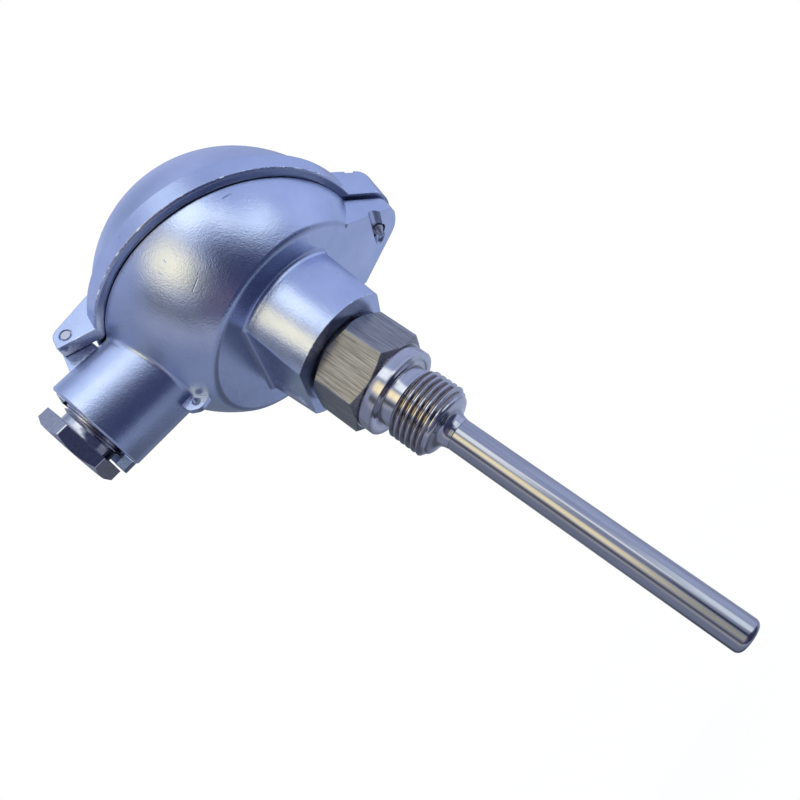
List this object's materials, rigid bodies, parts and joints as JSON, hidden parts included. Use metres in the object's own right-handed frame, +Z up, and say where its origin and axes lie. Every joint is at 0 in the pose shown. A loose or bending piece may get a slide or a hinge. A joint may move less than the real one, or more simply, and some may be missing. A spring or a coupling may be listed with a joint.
{
  "type": "resistance thermometer with connection head",
  "caption": "Closed tube probe on a hexagon screwed fitting with pipe thread, under an inclined cast connection head with hinged domed cover and plugged cable entry",
  "frame": {"origin": "centre of the sealing face of the process thread, on the probe's axis", "axes": "+Z runs up the probe's axis to the head and the tip points to -Z; the cable entry and the cover hinge are at -X, the cover screw at +X"},
  "size_m": [0.1163, 0.0848, 0.1991],
  "materials": {
    "cast_aluminium": "fine blasted casting",
    "stainless_steel": "turned",
    "plated_steel": "plated",
    "black_rubber": "matt",
    "white_ceramic": "unglazed ceramic",
    "brass": "machined",
    "red_insulation": "smooth",
    "white_insulation": "smooth"
  },
  "bodies": {
    "head": {"head_housing": "cast_aluminium", "process_fitting": "stainless_steel", "stem_tube": "stainless_steel", "cable_entry_plug": "stainless_steel", "insert_screw_1": "plated_steel", "insert_screw_2": "plated_steel", "earth_screw": "plated_steel", "earth_washer": "plated_steel"},
    "cover": {"head_cover": "cast_aluminium", "cover_gasket": "black_rubber", "hinge_pin": "plated_steel"},
    "screw_ring": {"cover_screw_retainer": "plated_steel"},
    "screw": {"cover_screw": "plated_steel"},
    "insert": {"insert_plate": "stainless_steel", "insert_sheath": "stainless_steel", "sensor_element": "white_ceramic", "terminal_block": "white_ceramic", "insert_spring_1": "plated_steel", "insert_spring_2": "plated_steel", "terminal_clamp_1": "brass", "terminal_clamp_2": "brass", "terminal_clamp_3": "brass", "terminal_clamp_4": "brass", "terminal_screw_1": "brass", "terminal_screw_2": "brass", "terminal_screw_3": "brass", "terminal_screw_4": "brass", "lead_wire_1": "red_insulation", "lead_wire_2": "red_insulation", "lead_wire_3": "white_insulation"}
  },
  "joints": [
    {"name": "cover_hinge", "type": "hinge", "parent": "head", "child": "cover", "pos_m": [-0.04568, 0, 0.07635], "axis": [0, -1, 0], "range_deg": [0, 110]},
    {"name": "cover_screw_lift", "type": "slide", "parent": "cover", "child": "screw_ring", "axis": [0.309, 0, 0.9511], "range_m": [0, 0.005]},
    {"name": "cover_screw_turn", "type": "hinge", "parent": "screw_ring", "child": "screw", "pos_m": [0.03919, -0.00304, 0.0454], "axis": [0.309, 0, 0.9511], "continuous": true},
    {"name": "insert_spring_travel", "type": "slide", "parent": "head", "child": "insert", "axis": [0, 0, 1], "range_m": [0, 0.0025], "deforming": ["insert_spring_1", "insert_spring_2"]}
  ]
}
